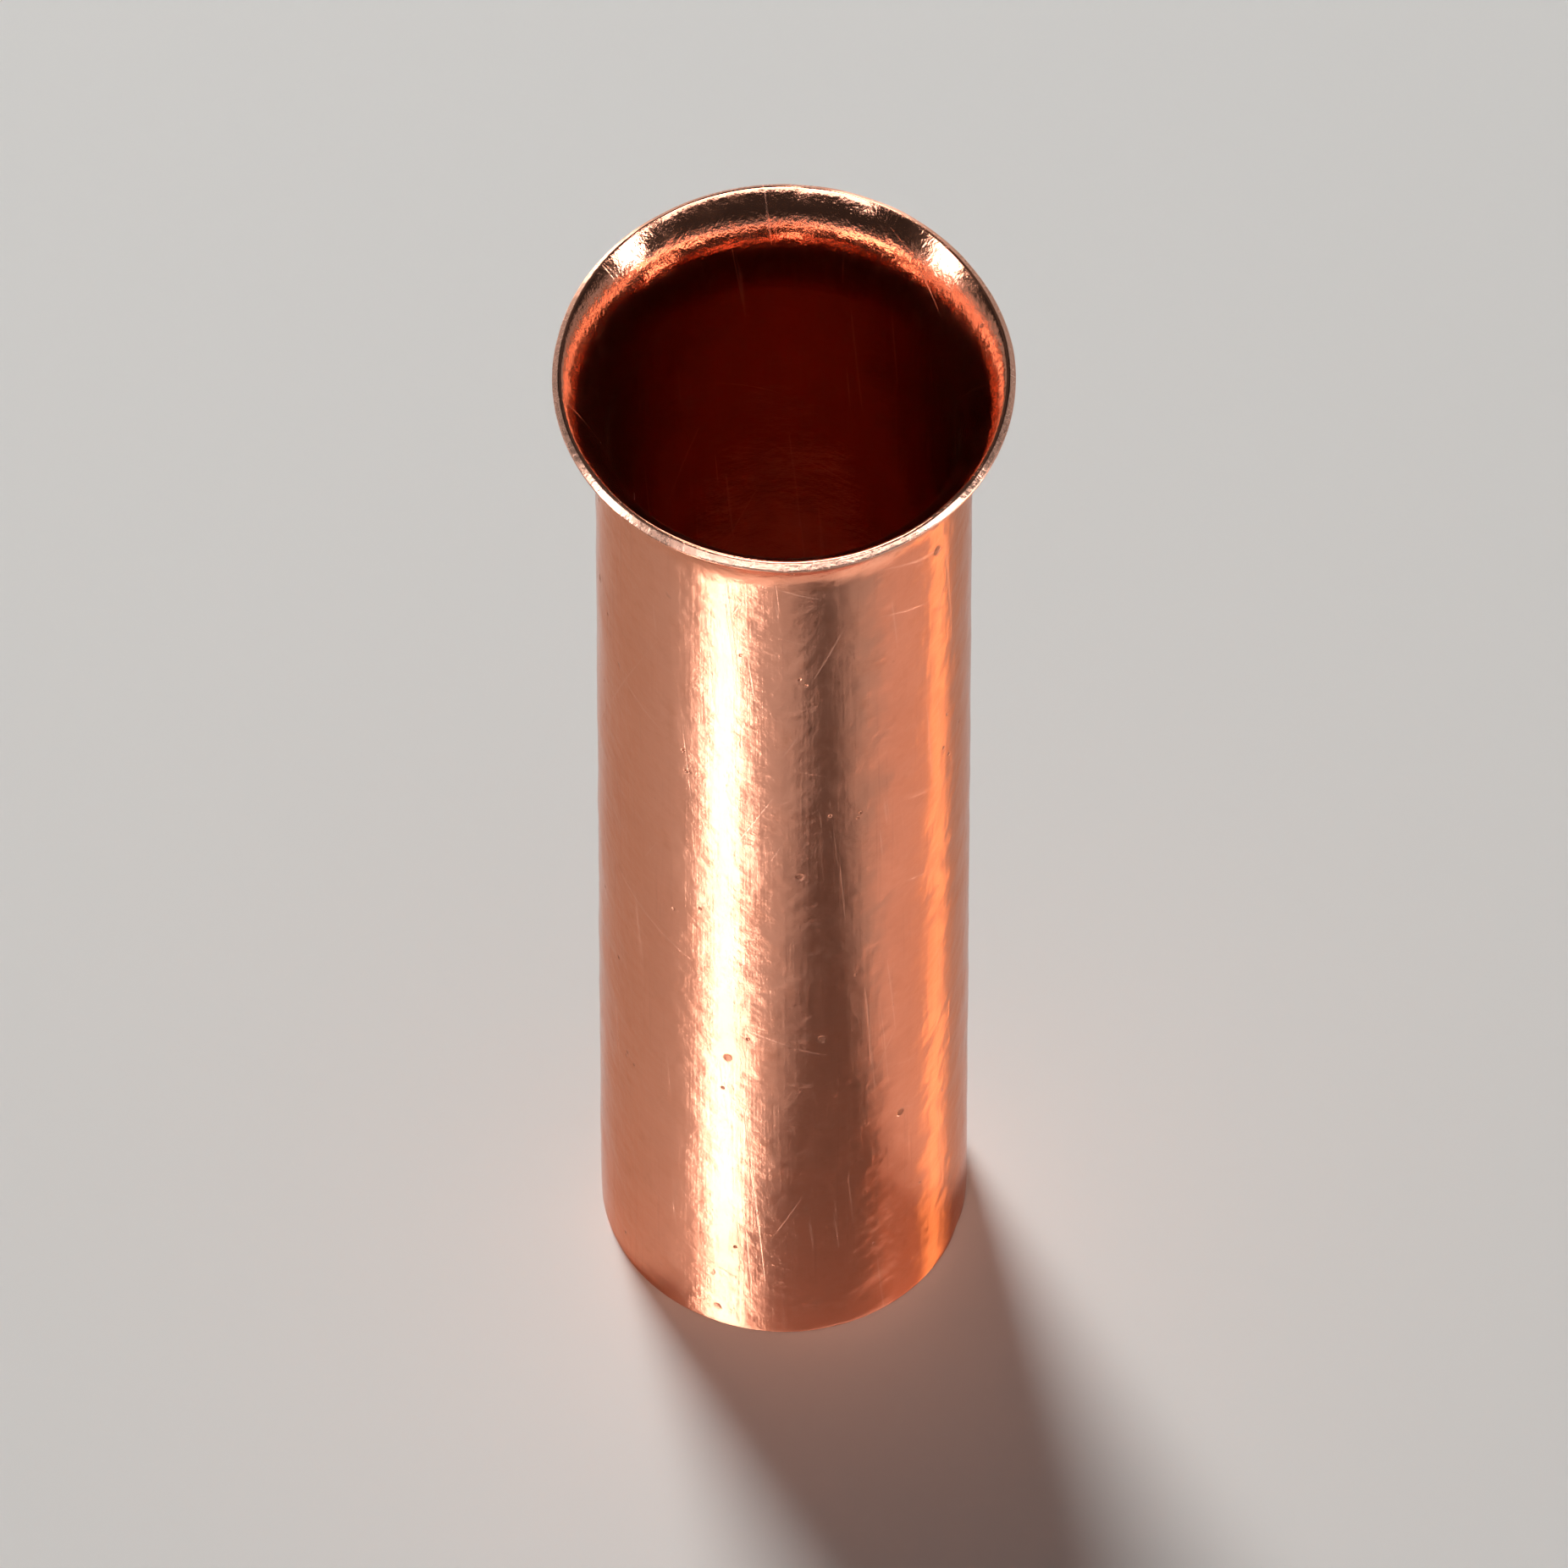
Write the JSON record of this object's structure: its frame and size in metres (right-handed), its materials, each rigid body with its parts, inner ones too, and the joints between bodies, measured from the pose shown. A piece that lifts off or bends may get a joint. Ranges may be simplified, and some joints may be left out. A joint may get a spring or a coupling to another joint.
{
  "type": "wire ferrule",
  "caption": "Bare copper end ferrule: a short thin-walled tube, square-cut at one end and flared at the other, that is slid over a stranded wire's bared end and crimped.",
  "frame": {"origin": "centre of the square-cut end's face, which the ferrule stands on", "axes": "+Z along the tube's axis, from the square end up to the flared wire entry; X and Y are alike, as the ferrule is round"},
  "size_m": [0.0076, 0.0076, 0.025],
  "materials": {
    "copper": "bright bare copper, drawn, with a fine lengthwise grain"
  },
  "bodies": {
    "root": {"ferrule": "copper"}
  },
  "joints": []
}
